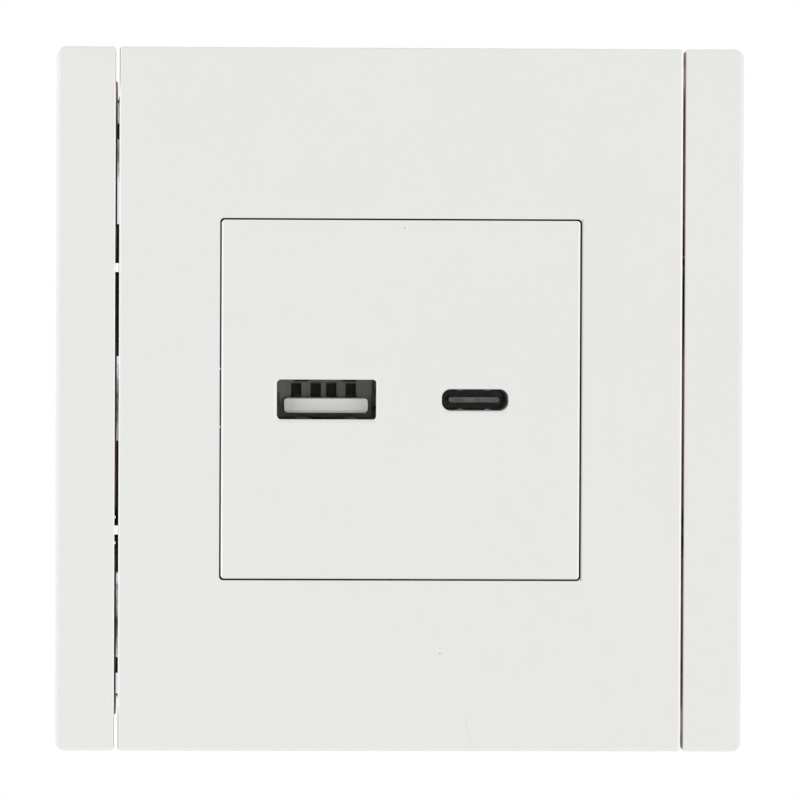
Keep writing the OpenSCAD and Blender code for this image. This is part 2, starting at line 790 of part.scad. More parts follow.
// The board behind the front, located on the bosses' pins
module port_board() {
    color(board_green) difference() {
        slab(port_board_y, port_board_back_y) cut_square(board_w, inner_chamfer + slide_clear);
        for (sx = [-1, 1], sz = [-1, 1])
            translate([sx * boss_at, 0, sz * boss_at])
                bar_y(boss_pin_r + slide_clear, port_board_y - overrun, port_board_back_y + overrun);
        for (s = [-1, 1], x = [-1, 1] * finger_x) {
            translate([x - wide_x, 0, s * (wide_inner_h + wide_shell_t) / 2]) foot_slot();
            translate([x + narrow_x, 0, s * (narrow_inner_h + narrow_shell_t) / 2]) foot_slot();
        }
        for (x = contact_x)
            translate([x - wide_x, 0, tongue_top - contact_sink / 2]) foot_slot();
        for (i = [0:link_pins - 1]) link_pin_at(i) link_hole(port_board_y, port_board_back_y);
    }
}
module foot_slot() {
    slab(port_board_y - overrun, port_board_back_y + overrun)
        square([foot_w + 2 * slide_clear, wide_shell_t + 2 * slide_clear], center = true);
}

// Its corners are cut clear of the housing's bosses
power_board_cut = board_w - 2 * boss_at + diagonal * (boss_r + 2 * slide_clear);
module power_board() {
    color(board_green) difference() {
        slab(power_board_y, power_board_back_y) cut_square(board_w, power_board_cut);
        for (s = [-1, 1])
            translate([s * terminal_pitch / 2, 0, bar_end_z - bar_t / 2])
                slab(power_board_y - overrun, power_board_back_y + overrun)
                    square([bar_tail_w + 2 * slide_clear, bar_t + 2 * slide_clear], center = true);
        for (i = [0:link_pins - 1]) link_pin_at(i) link_hole(power_board_y, power_board_back_y);
    }
}

// The pin strip that joins the two boards
link_pins = 4;
link_gap = 2;
link_inset = 2.6;
link_x = link_inset - inner_w / 2;
link_pin_w = 0.5;
link_z = wide_inner_h / 2 + wide_shell_t + link_pin_w;
link_strip_t = 2;
module link_pin_at(i) {
    translate([link_x, 0, link_z + i * link_gap]) children();
}
module link_hole(front, back) {
    slab(front - overrun, back + overrun)
        square(link_pin_w + 2 * slide_clear, center = true);
}
module board_link_strip() {
    color(port_black) difference() {
        slab(power_board_y - link_strip_t, power_board_y)
            translate([link_x, link_z + (link_pins - 1) * link_gap / 2])
                square([link_strip_t, link_pins * link_gap], center = true);
        for (i = [0:link_pins - 1])
            link_pin_at(i) slab(power_board_y - link_strip_t - overrun, power_board_y + overrun)
                square(link_pin_w, center = true);
    }
}
module board_link_pins() {
    color(brass_yellow)
        for (i = [0:link_pins - 1])
            link_pin_at(i) slab(port_board_y - link_pin_w, power_board_back_y + link_pin_w)
                square(link_pin_w, center = true);
}

// Parts on the back of the port board
controller_w = 5;
controller_t = 0.9;
controller_z_share = 0.24;
module port_controller() {
    color(port_black) at(inner_w * [0, controller_z_share])
        slab(port_board_back_y, port_board_back_y + controller_t) square(controller_w, center = true);
}
inductor_w = 6.6;
inductor_t_share = 0.25;
inductor_t = board_room * inductor_t_share;
inductor_z_share = -0.25;
module port_inductor() {
    color(ferrite) at(inner_w * [0, inductor_z_share])
        slab(port_board_back_y, port_board_back_y + inductor_t)
            cut_square(inductor_w, inductor_w / 8);
}
chip_cap_w = 1.6;
chip_cap_h = 3.2;
chip_cap_t_share = 0.12;
chip_cap_t = board_room * chip_cap_t_share;
chip_cap_x_share = 0.16;
chip_cap_z_share = 0.21;
module port_capacitors() {
    color(tan)
        for (sx = [-1, 1], sz = [-1, 1])
            at(inner_w * [sx * chip_cap_x_share, sz * chip_cap_z_share])
                slab(port_board_back_y, port_board_back_y + chip_cap_t)
                    square([chip_cap_w, chip_cap_h], center = true);
}

// The transformer: a ferrite core of two E-shaped halves, a bobbin whose
// drum fits round the middle leg, and a taped winding between its flanges.
core_place_share = [-0.05, 0.18];
core_place = inner_w * core_place_share;
core_w_share = 0.36;
core_w = inner_w * core_w_share;
core_h_share = 0.34;
core_h = inner_w * core_h_share;
core_t_share = 0.46;
core_t = board_room * core_t_share;
core_leg_share = 0.133;
core_leg = core_w * core_leg_share;
core_air = 0.1;
drum_t = 0.7;
drum_half = core_h / 2 - core_leg - slide_clear;
drum_flange_t = 0.8;
drum_flange_share = 0.75;
drum_flange_d = board_room * drum_flange_share;
core_lift_share = 0.1;
core_lift = board_room * core_lift_share;
core_y = power_board_y - drum_flange_d / 2 - core_lift;
drum_x = core_leg + slide_clear + drum_t;
drum_y = core_t / 2 + slide_clear + drum_t;
winding_x = core_w / 2 - core_leg - 4 * slide_clear;
winding_y = drum_flange_d / 2 - slide_clear;
module at_core() at(core_place) translate([0, core_y, 0]) children();
module transformer_core() {
    window_x = core_w / 2 - 2 * core_leg;
    color(ferrite) at_core() difference() {
        cube([core_w, core_t, core_h], center = true);
        cube([core_w + overrun, core_t + overrun, core_air], center = true);
        for (s = [-1, 1])
            translate([s * (core_leg + window_x / 2), 0, 0])
                cube([window_x, core_t + overrun, core_h - 2 * core_leg], center = true);
    }
}
module transformer_bobbin() {
    rail_front = core_t / 2 + slide_clear;
    color(port_black) at_core() difference() {
        union() {
            column(-drum_half, drum_half) square([2 * drum_x, 2 * drum_y], center = true);
            for (s = [-1, 1]) scale([1, 1, s]) {
                column(drum_half - drum_flange_t, drum_half)
                    square([2 * winding_x + 2 * slide_clear, drum_flange_d], center = true);
                column(drum_half - drum_flange_t, core_h / 2)
                    translate([-winding_x, rail_front])
                        square([2 * winding_x, power_board_y - core_y - rail_front]);
            }
        }
        column(-core_h, core_h)
            square([2 * (core_leg + slide_clear), core_t + 2 * slide_clear], center = true);
    }
}
module transformer_winding() {
    color(tape_yellow) at_core() difference() {
        column(slide_clear + drum_flange_t - drum_half, drum_half - drum_flange_t - slide_clear)
            round_rect(2 * winding_x, 2 * winding_y, winding_y / 4);
        column(-core_h, core_h) square([2 * drum_x, 2 * drum_y], center = true);
    }
}

// A round capacitor can with its rolled groove, standing on the power board
can_edge = 0.3;
can_groove = 0.45;
can_seal = 1;
module can(r, h) {
    translate([0, power_board_y, 0]) rotate([90, 0, 0]) rotate_extrude()
        polygon([
            [0, 0], [r - can_groove, 0], [r, can_edge], [r, can_seal],
            [r - can_groove, can_seal + can_groove], [r, can_seal + 2 * can_groove],
            [r, h - can_edge], [r - can_edge, h], [0, h]
        ]);
}
input_can_share = [0.1, 0.89];
input_place_shares = [[0.29, 0.29], [0.32, 0.055]];
output_can_share = [0.08, 0.74];
output_place_share = [-0.31, -0.29];
module input_capacitors() {
    color(sleeve_blue) for (p = input_place_shares)
        at(inner_w * p) can(inner_w * input_can_share[0], board_room * input_can_share[1]);
}
module output_capacitor() {
    color(sleeve_blue) at(inner_w * output_place_share)
        can(inner_w * output_can_share[0], board_room * output_can_share[1]);
}

// A coated disc that stands on two wires
disc_lift = 1;
disc_wire_r = 0.3;
module disc(r, t) {
    rotate([90, 0, 90]) translate([power_board_y - disc_lift - r, 0, 0])
        rotate_extrude() {
            square([r - t / 4, t / 2]);
            mirror([0, 1]) square([r - t / 4, t / 2]);
            translate([r - t / 4, 0]) square([t / 4, t / 4]);
            translate([r - t / 4, 0]) mirror([0, 1]) square([t / 4, t / 4]);
        }
    for (s = [-1, 1])
        translate([0, 0, s * r / 2]) bar_y(disc_wire_r, power_board_y - disc_lift - r / 2, power_board_y);
}
disc_t_share = 0.8;
surge_r_share = 0.285;
surge_r = board_room * surge_r_share;
surge_place_share = [0.09, -0.135];
safety_r_share = 0.245;
safety_r = board_room * safety_r_share;
safety_place_share = [-0.32, -0.11];
module surge_disc() {
    color(coat_blue) at(inner_w * surge_place_share) disc(surge_r, surge_r * disc_t_share);
}
module safety_capacitor() {
    color(coat_blue) at(inner_w * safety_place_share) disc(safety_r, safety_r * disc_t_share);
}

// A round fuse, a rectifier and a control chip on the power board
fuse_r = 2.2;
fuse_h_share = 0.61;
fuse_h = board_room * fuse_h_share;
fuse_place_share = [0.32, -0.31];
module fuse() {
    color(coat_brown) at(inner_w * fuse_place_share) bar_y(fuse_r, power_board_y - fuse_h, power_board_y);
}
rectifier_w = 6.5;
rectifier_h = 4.6;
rectifier_t = 2.5;
rectifier_place_share = [0.32, -0.15];
module bridge_rectifier() {
    color(port_black) at(inner_w * rectifier_place_share) slab(power_board_y - rectifier_t, power_board_y)
        square([rectifier_w, rectifier_h], center = true);
}
chip_w = 5;
chip_h = 3.9;
chip_t = 1.5;
chip_place_share = [-0.1, -0.135];
module power_controller() {
    color(port_black) at(inner_w * chip_place_share) slab(power_board_y - chip_t, power_board_y)
        square([chip_w, chip_h], center = true);
}

// The terminal block: two chambers for the clamp cages, wire bores in its
// lower wall, holes for the screw heads, and pockets for the contact bars.
module terminal_block() {
    color(port_grey) difference() {
        slab(power_board_back_y, block_back_y)
            translate([-block_w / 2, block_z]) square([block_w, block_h]);
        for (s = [-1, 1]) translate([s * terminal_pitch / 2, 0, 0]) {
            slab(power_board_back_y + block_floor, chamber_back_y)
                translate([-chamber_w / 2, chamber_z]) square([chamber_w, chamber_h]);
            translate([0, 0, screw_z])
                bar_y(head_d / 2 + slide_clear, chamber_back_y - overrun, block_back_y + overrun);
            translate([0, wire_y, block_z - overrun])
                cylinder(d = wire_hole_d, h = block_wall + 2 * overrun);
            slab(power_board_back_y - overrun, bar_back_y + seat_clear)
                translate([-bar_w / 2 - seat_clear, chamber_top_z - overrun])
                    square([bar_w + 2 * seat_clear, bar_end_z - chamber_top_z + seat_clear + overrun]);
        }
        slab(block_back_y - groove_d, block_back_y + overrun)
            translate([-groove_w / 2, block_z - overrun]) square([groove_w, block_h + 2 * overrun]);
    }
}
groove_w = 1;
groove_d = 3;

// The fixed bar that the cage presses the wire against, with a board tail
module contact_bar(side) {
    inner_z = chamber_z + 3 * slide_clear;
    color(brass_yellow) translate([side * terminal_pitch / 2, 0, 0]) {
        beam(-bar_w / 2, bar_w / 2)
            polygon([
                [bar_front_y, inner_z], [bar_back_y, inner_z], [bar_back_y, bar_end_z],
                [power_board_back_y, bar_end_z], [power_board_back_y, bar_end_z - bar_t],
                [bar_front_y, bar_end_z - bar_t]
            ]);
        slab(power_board_y - bar_t, power_board_back_y + bar_t)
            translate([-bar_tail_w / 2, bar_end_z - bar_t]) square([bar_tail_w, bar_t]);
    }
}
module left_contact_bar() contact_bar(-1);
module right_contact_bar() contact_bar(1);

// The box-shaped clamp: its roof carries the thread and its floor lifts the
// wire up to the bar as the screw turns.
module clamp_cage(side) {
    color(steel) translate([side * terminal_pitch / 2, 0, 0]) difference() {
        slab(cage_front_y, cage_back_y)
            translate([0, screw_z]) square([cage_w, cage_h], center = true);
        slab(cage_front_y + cage_floor_t, cage_back_y - cage_roof_t)
            translate([0, screw_z]) square([cage_w - 2 * cage_side_t, 2 * cage_h], center = true);
        translate([0, 0, screw_z])
            bar_y(screw_d / 2 + turn_clear, cage_back_y - cage_roof_t - slide_clear, cage_back_y + overrun);
    }
}
module left_clamp_cage() clamp_cage(-1);
module right_clamp_cage() clamp_cage(1);

// The screw that turns in the block, its tip on the contact bar
module terminal_screw(side) {
    color(brass_yellow) translate([side * terminal_pitch / 2, 0, screw_z]) difference() {
        union() {
            bar_y(screw_d / 2, bar_back_y + seat_clear, head_front_y + seat_clear);
            bar_y(head_d / 2, head_front_y, head_front_y + head_t - head_bevel);
            translate([0, head_front_y + head_t - head_bevel, 0]) rotate([-90, 0, 0])
                cylinder(r1 = head_d / 2, r2 = head_d / 2 - head_bevel, h = head_bevel);
        }
        slab(head_front_y + head_t - head_slot_d, head_front_y + head_t + overrun)
            square([head_slot_w, head_d + overrun], center = true);
    }
}
module left_terminal_screw() terminal_screw(-1);
module right_terminal_screw() terminal_screw(1);

centre_plate();
left_side_strip();
right_side_strip();
support_frame();
front_cover();
module_housing();
wide_port_shell();
wide_port_insulator();
wide_port_contacts();
narrow_port_shell();
narrow_port_insulator();
narrow_port_contacts();
port_board();
port_controller();
port_inductor();
port_capacitors();
board_link_strip();
board_link_pins();
power_board();
transformer_core();
transformer_bobbin();
transformer_winding();
input_capacitors();
output_capacitor();
safety_capacitor();
fuse();
surge_disc();
bridge_rectifier();
power_controller();
terminal_block();
left_contact_bar();
right_contact_bar();
left_clamp_cage();
right_clamp_cage();
left_terminal_screw();
right_terminal_screw();
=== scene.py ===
"""Looks of the wall socket with two charging ports: finishes, torn edges, light and camera."""

import json
import math

import bpy
import numpy as np
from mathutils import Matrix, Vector


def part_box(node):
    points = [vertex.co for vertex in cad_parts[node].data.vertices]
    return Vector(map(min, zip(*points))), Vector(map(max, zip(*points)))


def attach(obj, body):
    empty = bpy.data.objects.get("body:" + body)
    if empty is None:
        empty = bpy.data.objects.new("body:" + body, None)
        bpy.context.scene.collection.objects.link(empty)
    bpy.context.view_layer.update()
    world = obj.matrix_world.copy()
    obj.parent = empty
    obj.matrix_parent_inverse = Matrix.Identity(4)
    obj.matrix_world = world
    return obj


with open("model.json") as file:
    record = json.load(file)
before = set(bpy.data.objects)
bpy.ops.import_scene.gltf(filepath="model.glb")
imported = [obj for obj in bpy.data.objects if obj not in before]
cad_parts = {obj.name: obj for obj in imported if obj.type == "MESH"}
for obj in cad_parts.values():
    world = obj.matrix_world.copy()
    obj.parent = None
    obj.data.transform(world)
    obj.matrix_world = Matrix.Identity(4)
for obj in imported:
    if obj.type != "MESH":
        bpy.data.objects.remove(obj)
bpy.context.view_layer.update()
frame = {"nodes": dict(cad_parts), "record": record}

MM = 0.001


def middle(node):
    """Middle and half size of a node's box along x and along z."""
    low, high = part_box(node)
    return [((low[i] + high[i]) / 2, (high[i] - low[i]) / 2) for i in (0, 2)]


# Places that the solids' boxes tell
(_, PLATE_HALF), (_, COVER_HALF) = middle("centre_plate")
(_, FRONT_HALF), _ = middle("front_cover")
(WIDE_X, _), _ = middle("wide_port_shell")
(NARROW_X, _), _ = middle("narrow_port_shell")
(_, FLANGE_X), _ = middle("support_frame")
FACE_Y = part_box("centre_plate")[0][1]
TAB_FRONT_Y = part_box("support_frame")[0][1]
LEFT_RIM, RIGHT_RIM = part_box("left_side_strip")[0][0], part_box("right_side_strip")[1][0]

# Places that they don't, as in the part's source
LEFT_GAP, RIGHT_GAP, FRONT_GAP = 0.5 * MM, 0.3 * MM, 0.2 * MM
LEFT_SEAM, RIGHT_SEAM = -PLATE_HALF - LEFT_GAP, PLATE_HALF + RIGHT_GAP
OPENING_HALF = FRONT_HALF + FRONT_GAP
FLANGE_FRONT_Y = TAB_FRONT_Y + 2.3 * MM
RING_BACK_Y = -3 * MM
PAD_BACK_Y = -8 * MM
WIDE_BASE_Y, NARROW_BASE_Y = 1.0 * MM, -1.6 * MM
SLOT_TOP = 1.77 * MM
FINGER_X, FINGER_HALF = 3 * MM, 0.85 * MM
PIN_X, PIN_Z, PIN_R = 11 * MM, 13 * MM, 1.8 * MM
PIN_LINE = 0.12 * MM
TABS = [(-37.0, -34.6), (-32.4, -22.0), (-5.2, 5.2), (22.0, 32.4), (34.6, 37.0)]

# Reaches of the seams' painted shade: two darker stretches along z (middle, half, strength),
# the fades near the cover's ends and into the depth, and the left seam's open ends with its
# pads, which are painted white as a highlight
SEAM_STRETCHES = [(13 * MM, 8 * MM, 1.6), (-16.4 * MM, 3.5 * MM, 2.0)]
SEAM_CLOSED_TO, SEAM_FADE, DEEP_FADE = 42.5 * MM, 5 * MM, 0.25 * MM
OPEN_FROM, OPEN_FADE, OPEN_DEPTH, OPEN_EDGE = 38 * MM, 2 * MM, 1.5 * MM, 0.13 * MM
PAD_SKIN = 0.02 * MM

# Reaches of the torn edges and their painted shade, the zinc's crystals and the circuit board's
# copper
TORN_TAB_DEPTH, TORN_AND_SHADE_WIDTH, TORN_AND_SHADE_DEPTH, SPANGLE = 0.3 * MM, 0.6 * MM, 0.2 * MM, 1.5 * MM
POUR_SIZE, TRACK_PITCH, TRACK_SHARE = 6 * MM, 1.6 * MM, 0.35

# Reaches on the wide port: the tongue's painted light and shade, lighter to the top and darker
# at its rims, the slots' painted shade, and the painted shade and highlights on the shell's walls
BLEND_BELOW, BLEND_HEIGHT = 1.0 * MM, 1.2 * MM
LOW_RIM_BELOW, LOW_RIM_FADE, TOP_RIM_Z, TOP_RIM_FADE = 1.8 * MM, 0.5 * MM, 0.06 * MM, 0.08 * MM
BASE_SKIN, SLOT_DEPTH = 0.05 * MM, 0.1 * MM
SHELL_HALF, NOTCH_BOTTOM_Z, NOTCH_BACK_Y = 6.15 * MM, -0.4 * MM, -6.9 * MM
FINGER_TOP_Z, LOW_WALL_Z = -1.9 * MM, -2.2 * MM

# Reaches on the narrow port's tongue: its mottled tip, and its steel sides painted pale as light
TIP_HALF, TIP_FADE, TIP_REACH = 3.1 * MM, 0.5 * MM, 1 * MM
TIP_THICK, TIP_DROP, TIP_THICK_FADE = 0.27 * MM, 0.1 * MM, 0.08 * MM
LATCH_X, LATCH_REACH = 3.05 * MM, 0.3 * MM

# The cover's colour, the painted highlights and painted shade at its edges, seams and mouths, and
# its wear
WHITE = (0.80, 0.80, 0.781)
# Painted shade for the seams: dark and brown for their walls, brown for shaded edge lines
SEAM_SHADE_DARK, SEAM_SHADE_BROWN, BROWN_SHADE = (0.09, 0.065, 0.06), (0.85, 0.66, 0.6), (0.3, 0.2, 0.16)
# Painted highlights in white, cream and cool white, and a painted shade in dim grey, for edges
BRIGHT, CREAM_HIGHLIGHT, COOL_HIGHLIGHT, DIM_EDGE_SHADE = (1.0, 1.0, 1.0), (1.0, 0.95, 0.86), (0.93, 0.96, 1.0), (0.66, 0.66, 0.66)
# Painted shade under the mouths and along the wide mouth's left edge
LIP_SHADE, MOUTH_EDGE_SHADE = (0.5, 0.48, 0.44), (0.08, 0.08, 0.07)
SPECK_GREY, SCRATCH_GREY = (0.2, 0.2, 0.19), (0.3, 0.28, 0.25)
HOUSING_WHITE, HOUSING_DULL, PIN_MARK = (0.76, 0.76, 0.735), (0.73, 0.73, 0.70), (0.45, 0.45, 0.43)

# Metals
# The torn edges' dull brown is painted shade; their bright flecks are the torn metal
ZINC, TORN_SHADE_BROWN, TORN_BRIGHT = (0.56, 0.575, 0.6), (0.12, 0.08, 0.07), (0.74, 0.77, 0.82)
SCREW_STEEL = (0.66, 0.67, 0.68)
SHELL_PALE, SHELL_DULL = (0.60, 0.59, 0.52), (0.49, 0.48, 0.43)
# Painted shade for the wide shell's lower and right walls, and a painted highlight for its fingers
SHELL_LOW_SHADE, SHELL_FINGER_HIGHLIGHT, SHELL_RIGHT_SHADE = (0.2, 0.19, 0.17), (0.95, 0.88, 0.8), (0.05, 0.05, 0.045)

# The ports' mouldings
# The wide tongue's darker bottom, lighter top and darker rims are painted light and shade
TONGUE_SHADED_LOW, TONGUE_LIT_HIGH, TONGUE_RIM_SHADE = (0.70, 0.70, 0.675), (0.78, 0.78, 0.77), (0.3, 0.3, 0.285)
# The slots' dark colour is painted shade
WIDE_BASE, SLOT_SHADE = (0.72, 0.71, 0.64), (0.05, 0.045, 0.035)
# The narrow base wall's paleness and the tongue sides' pale steel grey are painted light
NARROW_BLACK, NARROW_BASE_LIT, LIT_LATCH_STEEL = (0.1, 0.1, 0.1), (0.27, 0.27, 0.26), (0.36, 0.36, 0.36)
TIP_DARK, TIP_PALER = (0.06, 0.06, 0.062), (0.14, 0.14, 0.145)
LACQUER, LACQUER_ON_COPPER = (0.02, 0.11, 0.05), (0.04, 0.19, 0.08)
FLOOR_WHITE, FLOOR_GREYER = (0.9, 0.9, 0.9), (0.88, 0.88, 0.88)


class Sum:
    """A socket that takes part in Python sums: each operator adds one Math node to its tree."""

    def __init__(self, tree, socket):
        self.tree, self.socket = tree, socket

    def __add__(self, other):
        return self.tree.math("ADD", self, other)

    def __radd__(self, other):
        return self.tree.math("ADD", other, self)

    def __sub__(self, other):
        return self.tree.math("SUBTRACT", self, other)

    def __rsub__(self, other):
        return self.tree.math("SUBTRACT", other, self)

    def __mul__(self, other):
        return self.tree.math("MULTIPLY", self, other)

    def __rmul__(self, other):
        return self.tree.math("MULTIPLY", other, self)

    def __truediv__(self, other):
        return self.tree.math("DIVIDE", self, other)

    def __gt__(self, other):
        return self.tree.math("GREATER_THAN", self, other)

    def __lt__(self, other):
        return self.tree.math("LESS_THAN", self, other)

    def __abs__(self):
        return self.tree.math("ABSOLUTE", self)


class Tree:
    """The node tree of a material or a world, built by expressions on its sockets."""

    def __init__(self, owner):
        owner.use_nodes = True
        self.nodes, self.links = owner.node_tree.nodes, owner.node_tree.links
        self.nodes.clear()

    def give(self, socket, value):
        """Links a Sum to a socket, or sets the socket's value."""
        if isinstance(value, Sum):
            self.links.new(value.socket, socket)
        elif socket.type == "RGBA":
            socket.default_value = (*value, 1.0)
        else:
            socket.default_value = value

    def node(self, kind, settings=None, inputs=None, out=0):
        """Adds a node: its settings first, then the values or links of its sockets.
        Returns one of its outputs."""
        made = self.nodes.new(kind)
        for key, value in (settings or {}).items():
            setattr(made, key, value)
        for key, value in (inputs or {}).items():
            self.give(made.inputs[key], value)
        return Sum(self, made.outputs[out])

    def end(self, kind, shader):
        """Adds the output node and links the shader to it."""
        self.give(self.nodes.new(kind).inputs["Surface"], shader)

    def math(self, operation, *values):
        return self.node("ShaderNodeMath", {"operation": operation}, dict(enumerate(values)))

    def clamp(self, value):
        """Keeps a value between 0 and 1."""
        return self.node("ShaderNodeClamp", {}, {"Value": value})


class Look(Tree):
    """One material with a main shader. Its axes are the x, y and z of the point, in metres."""

    def __init__(self, name):
        self.material = bpy.data.materials.new(name)
        super().__init__(self.material)
        shader = self.node("ShaderNodeBsdfPrincipled")
        self.shader = shader.socket.node
        self.end("ShaderNodeOutputMaterial", shader)
        self.place = self.node("ShaderNodeTexCoord", out="Object")
        x = self.node("ShaderNodeSeparateXYZ", {}, {0: self.place})
        self.axes = [Sum(self, socket) for socket in x.socket.node.outputs]

    def noise(self, size, detail=2.0, stretch=(1.0, 1.0, 1.0)):
        """Soft noise from 0 to 1, with lumps about size metres across, drawn out where
        stretch is small."""
        where = self.node("ShaderNodeMapping", {}, {"Vector": self.place, "Scale": stretch})
        inputs = {"Vector": where, "Scale": 1.0 / size, "Detail": detail}
        return self.node("ShaderNodeTexNoise", {}, inputs, out="Fac")

    def brushed(self, size):
        """Fine lines along z, from 0 to 1, about size metres apart."""
        return self.noise(size, 3.0, (1.0, 1.0, 0.06))

    def mix(self, factor, first, second):
        """Blends two colours."""
        inputs = {0: factor, 6: first, 7: second}
        return self.node("ShaderNodeMix", {"data_type": "RGBA"}, inputs, out=2)

    def bump(self, height, strength, distance):
        """Raises the surface by height for the light alone."""
        inputs = {"Height": height, "Strength": strength, "Distance": distance}
        self.give(self.shader.inputs["Normal"], self.node("ShaderNodeBump", {}, inputs))

    def set(self, **values):
        """Puts values or links on the main shader, by socket name with _ for a space."""
        for key, value in values.items():
            self.give(self.shader.inputs[key.replace("_", " ")], value)


def shade(colour, share):
    """The colour at a share of its brightness."""
    return tuple(share * c for c in colour)


def band(coordinate, place, width, strength):
    """Full on the plane at place, falling to 0 at width from it. A strength above 1 widens the
    full part, and one below 1 weakens the whole."""
    return coordinate.tree.clamp((1.0 - abs(coordinate - place) / width) * strength)


def line(axis, place, width, tint, strength, low=-1.0, high=1.0):
    """An edge line at place on the x (0) or z (2) axis, from low to high on the other one."""
    return axis, place, width, tint, strength, low, high


def edge_lines(look, tone, lines):
    """Tints the edges that catch the light or lose it, each from line()."""
    x, y, z = look.axes
    for axis, place, width, tint, strength, low, high in lines:
        other = (z, y, x)[axis]
        along = (other > low) * (other < high)
        tone = look.mix(band(look.axes[axis], place, width, strength) * along, tone, tint)
    return tone


def lip_shades(look, tone, mouths):
    """Shades the face softly under each mouth, given as (middle x, half width, lip z, drop)."""
    x, _, z = look.axes
    for mouth_x, half, lip, drop in mouths:
        beside = look.clamp((half - abs(x - mouth_x)) / (0.3 * MM))
        below = look.clamp(1.0 - (lip - z) / drop) * (z < lip)
        tone = look.mix(beside * below * 0.35, tone, LIP_SHADE)
    return tone


def seam_wall_shade(look, tone, gaps):
    """Paints shade on the walls of narrow seams, each (axis, distance from the middle, depth,
    reach), from depth inwards and less so near the cover's ends. The insert's seams get a dark
    painted shade, and the cover's a brown one with two darker stretches along z."""
    _, y, z = look.axes
    upper, lower = (band(z, *stretch) for stretch in SEAM_STRETCHES)
    dim = upper + lower + 0.7 * look.noise(7 * MM, 3.0) - 0.25
    brown = look.mix(look.clamp(dim), SEAM_SHADE_BROWN, SEAM_SHADE_DARK)
    closed = look.clamp(0.3 + (SEAM_CLOSED_TO - abs(z)) / SEAM_FADE)
    for axis, place, depth, reach in gaps:
        near = abs(abs(look.axes[axis]) - place) < reach
        deep = look.clamp((y - FACE_Y - depth) / DEEP_FADE) * (y < RING_BACK_Y)
        of_cover = axis == 0 and place >= PLATE_HALF
        tone = look.mix(near * deep * closed, tone, brown if of_cover else SEAM_SHADE_DARK)
    return tone


def open_seam_shade_and_highlight(look, tone, edge, strength):
    """Paints a brown shade on an edge of the left seam near its ends, where the seam is open right
    through, and paints the pads that cross it pure white as a highlight."""
    x, y, z = look.axes
    ends = look.clamp((abs(z) - OPEN_FROM) / OPEN_FADE) * (y < FACE_Y + OPEN_DEPTH)
    tone = look.mix(band(x, edge, OPEN_EDGE, strength) * ends, tone, BROWN_SHADE)
    pad_highlight = (x > LEFT_SEAM + PAD_SKIN) * (x < -PLATE_HALF - PAD_SKIN) * (y < PAD_BACK_Y)
    return look.mix(pad_highlight, tone, BRIGHT)


def grey_speck(look, tone, speck_x, speck_z, radius):
    """A round fleck of dirt on the face."""
    x, _, z = look.axes
    off_x, off_z = (x - speck_x) / radius, (z - speck_z) / radius
    return look.mix(0.45 * (off_x * off_x + off_z * off_z < 1.0), tone, SPECK_GREY)


def faint_scratch(look, tone, scratch_x, slope, low, high):
    """A broken hairline from low to high, which leans by slope and would cross z = 0 at
    scratch_x."""
    x, _, z = look.axes
    run = band(x - z * slope, scratch_x, 0.12 * MM, 0.3) * (z > low) * (z < high)
    return look.mix(run * look.noise(1 * MM, 1.0), tone, SCRATCH_GREY)


def white_plastic(name, lines=(), gaps=(), mouths=(), seam=None, speck=None, scratch=None):
    """Moulded white plastic: a faint cloudiness, a fine spark-eroded grain, what light does at
    its edges and seams, and its wear."""
    look = Look(name)
    grain = look.noise(0.16 * MM)
    tone = look.mix(look.noise(14 * MM, 3.0), WHITE, shade(WHITE, 0.985))
    tone = edge_lines(look, tone, lines)
    tone = lip_shades(look, tone, mouths)
    tone = seam_wall_shade(look, tone, gaps)
    for add, values in ((open_seam_shade_and_highlight, seam), (grey_speck, speck), (faint_scratch, scratch)):
        if values:
            tone = add(look, tone, *values)
    look.set(Base_Color=tone, Roughness=0.36 + 0.08 * (grain - 0.5), Specular_IOR_Level=0.4)
    look.bump(grain, 0.06, 0.02 * MM)
    return look.material


def moulded_housing(name):
    """Plainer white moulding with a coarser grain and faint rings left by the ejector pins."""
    look = Look(name)
    x, _, z = look.axes
    grain = look.noise(0.22 * MM)
    off_x, off_z = abs(x) - PIN_X, abs(z) - PIN_Z
    ring = abs(look.math("SQRT", off_x * off_x + off_z * off_z) - PIN_R) < PIN_LINE
    tone = look.mix(look.noise(9 * MM, 3.0), HOUSING_WHITE, HOUSING_DULL)
    tone = look.mix(0.12 * ring, tone, PIN_MARK)
    look.set(Base_Color=tone, Roughness=0.48 + 0.1 * (grain - 0.5))
    look.bump(grain * 0.4 + ring, 0.15, 0.03 * MM)
    return look.material


def screw_steel(name):
    """Bright steel with fine lines along z."""
    look = Look(name)
    lines = look.brushed(0.1 * MM)
    tone = look.mix(lines, SCREW_STEEL, shade(SCREW_STEEL, 0.82))
    look.set(Base_Color=tone, Metallic=1.0, Roughness=0.3 + 0.15 * (lines - 0.5))
    look.bump(lines, 0.08, 0.02 * MM)
    return look.material


def torn_zinc_and_shade(look):
    """How the zinc looks where shearing tore it: bright torn flecks, drawn out along z, between
    dull brown stretches of painted shade. Returns the flecks, the colour, how metallic it is and
    its roughness."""
    _, y, _ = look.axes
    lumps = look.noise(1.8 * MM, 4.0, (1.0, 1.0, 0.3))
    fleck = look.clamp(5.0 * (lumps - 0.33)) * (y < TAB_FRONT_Y + TORN_TAB_DEPTH)
    tone = look.mix(fleck, TORN_SHADE_BROWN, TORN_BRIGHT)
    return fleck, tone, 0.2 + 0.8 * fleck, 0.5 - 0.42 * fleck


def sheared_zinc_and_shade(name):
    """The torn zinc with its painted shade alone, for the burrs."""
    look = Look(name)
    fleck, tone, metallic, roughness = torn_zinc_and_shade(look)
    look.set(Base_Color=tone, Metallic=metallic, Roughness=roughness)
    look.bump(fleck, 0.05, 0.02 * MM)
    return look.material


